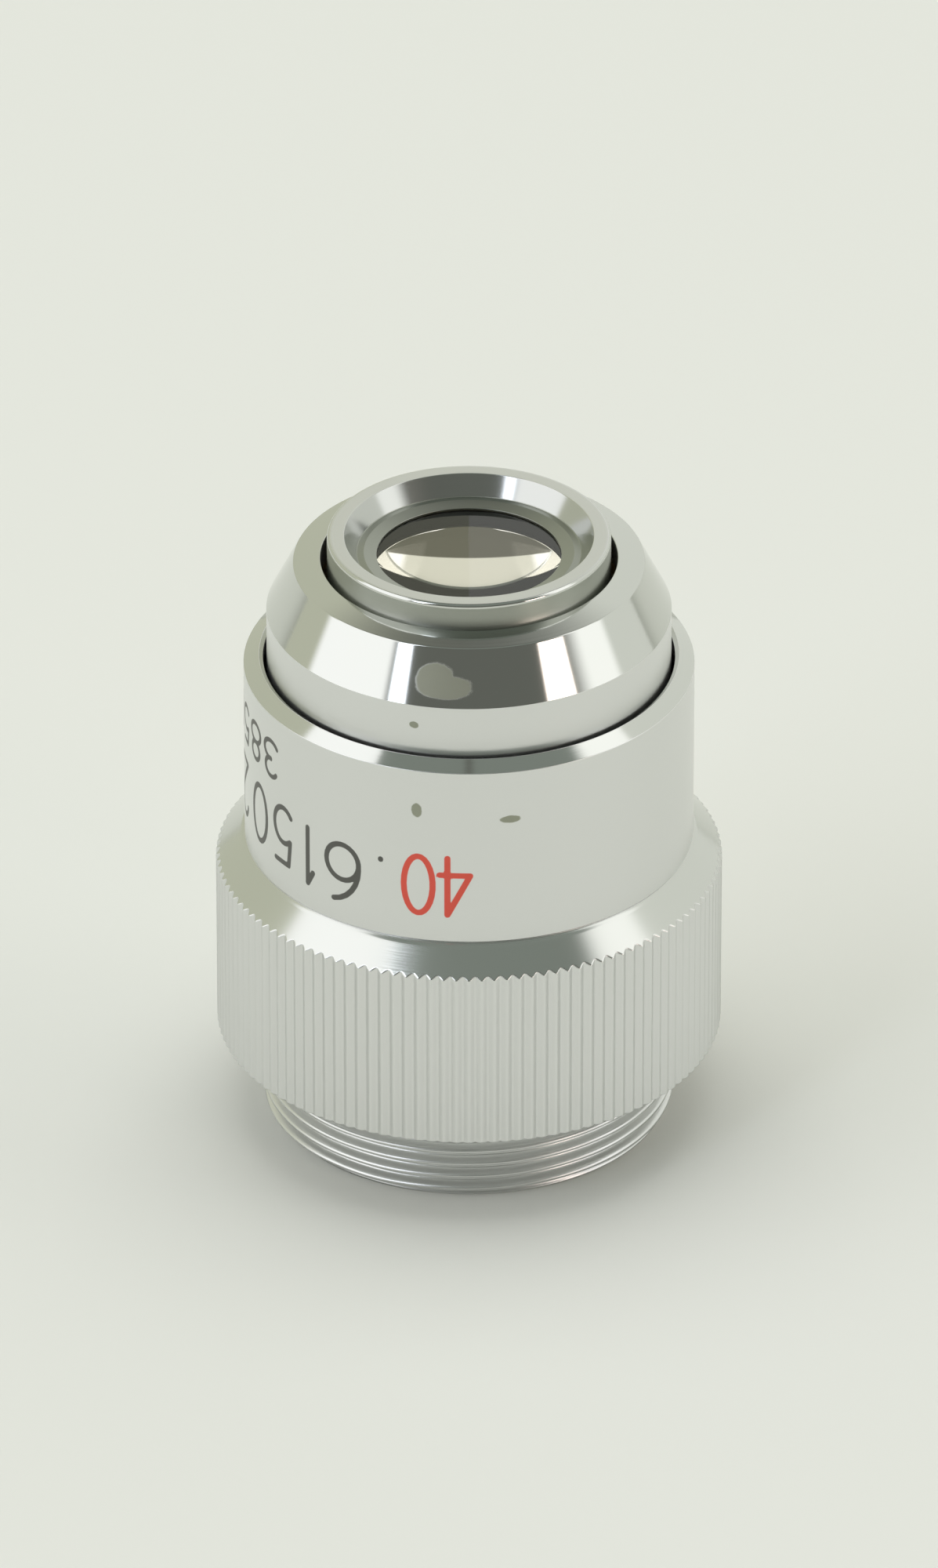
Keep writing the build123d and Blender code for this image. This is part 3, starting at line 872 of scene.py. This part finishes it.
def make_world():
    """The room as the metal and the glass show it.

    A pale backdrop stands behind and fades high up, a bright panel on each side leans back
    overhead, and the room is dim towards the camera and overhead between them."""
    world = bpy.data.worlds.new("room")
    bpy.context.scene.world = world
    world.use_nodes = True
    tree = world.node_tree
    tree.nodes.clear()
    output = tree.nodes.new("ShaderNodeOutputWorld")
    place = add_node(tree, "ShaderNodeTexCoord").outputs["Generated"]
    x, y, z = add_node(tree, "ShaderNodeSeparateXYZ", {0: place}).outputs
    forward = add_node(tree, "ShaderNodeMath", {0: y, 1: -1.0}, operation="MULTIPLY").outputs[0]
    turn = add_node(tree, "ShaderNodeMath", {0: x, 1: forward}, operation="ARCTAN2").outputs[0]
    right = add_node(tree, "ShaderNodeMath", {0: turn}, operation="DEGREES").outputs[0]
    left = add_node(tree, "ShaderNodeMath", {0: right, 1: -1.0}, operation="MULTIPLY").outputs[0]
    rise = add_node(tree, "ShaderNodeMath", {0: z}, operation="ARCSINE").outputs[0]
    height = add_node(tree, "ShaderNodeMath", {0: rise}, operation="DEGREES").outputs[0]
    aside = add_node(tree, "ShaderNodeMath", {0: x}, operation="ABSOLUTE").outputs[0]
    turned_away = add_node(tree, "ShaderNodeMath", {0: right}, operation="ABSOLUTE").outputs[0]

    # Soft steps from 0 to 1, each of one number between two of its values
    soft = {}
    for name, value, low, high in (
            ("clear of the top", aside, 0.24, 0.32), ("behind", y, 0.27, 0.3), ("far aside", aside, 0.7, 0.8),
            ("aside", aside, 0.4, 0.46), ("in front", y, -0.35, -0.4), ("away", turned_away, 150.0, 160.0),
            ("high", height, 38.0, 52.0)):
        soft[name] = add_node(tree, "ShaderNodeMapRange", {
            "Value": value, "From Min": low, "From Max": high},
            interpolation_type="SMOOTHSTEP").outputs["Result"]
    upward = add_node(tree, "ShaderNodeMapRange", {"Value": height, "From Min": 30.0, "From Max": 58.0})

    # Layers of a weight and a colour, each laid over those before it, for the room and for the glass
    room_layers = [(upward.outputs["Result"], linear(HIGH_ROOM))]
    for azimuth, (inner, outer, panel, backdrop) in ((right, RIGHT_SIDE), (left, LEFT_SIDE)):
        lit = add_node(tree, "ShaderNodeMath", {
            0: past_edge(tree, azimuth, height, *inner), 1: soft["clear of the top"]}, operation="MULTIPLY")
        bright = (np.array(linear(panel)) * PANEL_BRIGHTNESS).tolist()
        beyond = past_edge(tree, azimuth, height, *outer)
        room_layers += [(lit.outputs[0], bright), (beyond, linear(backdrop))]
    high_away = add_node(tree, "ShaderNodeMath", {0: soft["away"], 1: soft["high"]}, operation="MULTIPLY")
    room_layers.append((high_away.outputs[0], linear(LOW_ROOM)))
    glass_panel = (PANEL_BRIGHTNESS, PANEL_BRIGHTNESS, PANEL_BRIGHTNESS, 1.0)
    glass_layers = [(soft["behind"], linear(GLASS_BACKDROP))]
    for first, second in (("behind", "far aside"), ("aside", "in front")):
        seen = add_node(tree, "ShaderNodeMath", {0: soft[first], 1: soft[second]}, operation="MULTIPLY")
        glass_layers.append((seen.outputs[0], glass_panel))
    colours = []
    for colour, layers in ((linear(LOW_ROOM), room_layers), (linear(GLASS_ROOM), glass_layers)):
        for weight, over in layers:
            colour = add_node(tree, "ShaderNodeMix", {
                0: weight, 6: colour, 7: over}, data_type="RGBA").outputs[2]
        colours.append(colour)
    in_glass = add_node(tree, "ShaderNodeLightPath").outputs["Is Transmission Ray"]
    shown = add_node(tree, "ShaderNodeMix", {0: in_glass, 6: colours[0], 7: colours[1]}, data_type="RGBA")
    background = add_node(tree, "ShaderNodeBackground", {"Color": shown.outputs[2], "Strength": 1.0})
    tree.links.new(background.outputs[0], output.inputs["Surface"])


make_world()
add_lamp("left_strip", -40, 35, 9, 42, 3.0, "EEF3FF")
add_lamp("right_lamp", 52, 13, 16, 20, 3.0, "FFEDE4")
add_lamp("top_fill", 180, 78, 40, 40, 2.2, "FFFFFF", in_reflections=False)


def make_camera():
    """The photograph's viewpoint: its distance, elevation and field of view."""
    distance = 800.0 * MM
    elevation = 30.5
    focal_pixels = 20713.0
    image_height = 2000
    sensor_height = 36.0
    camera_data = bpy.data.cameras.new("camera")
    camera_data.sensor_fit = "VERTICAL"
    camera_data.sensor_height = sensor_height
    camera_data.lens = sensor_height * focal_pixels / image_height
    camera_data.clip_start = 0.01
    camera = bpy.data.objects.new("camera", camera_data)
    aim(camera, 0, elevation, distance)
    bpy.context.scene.camera = camera


make_camera()
bpy.context.scene.view_settings.view_transform = "Standard"
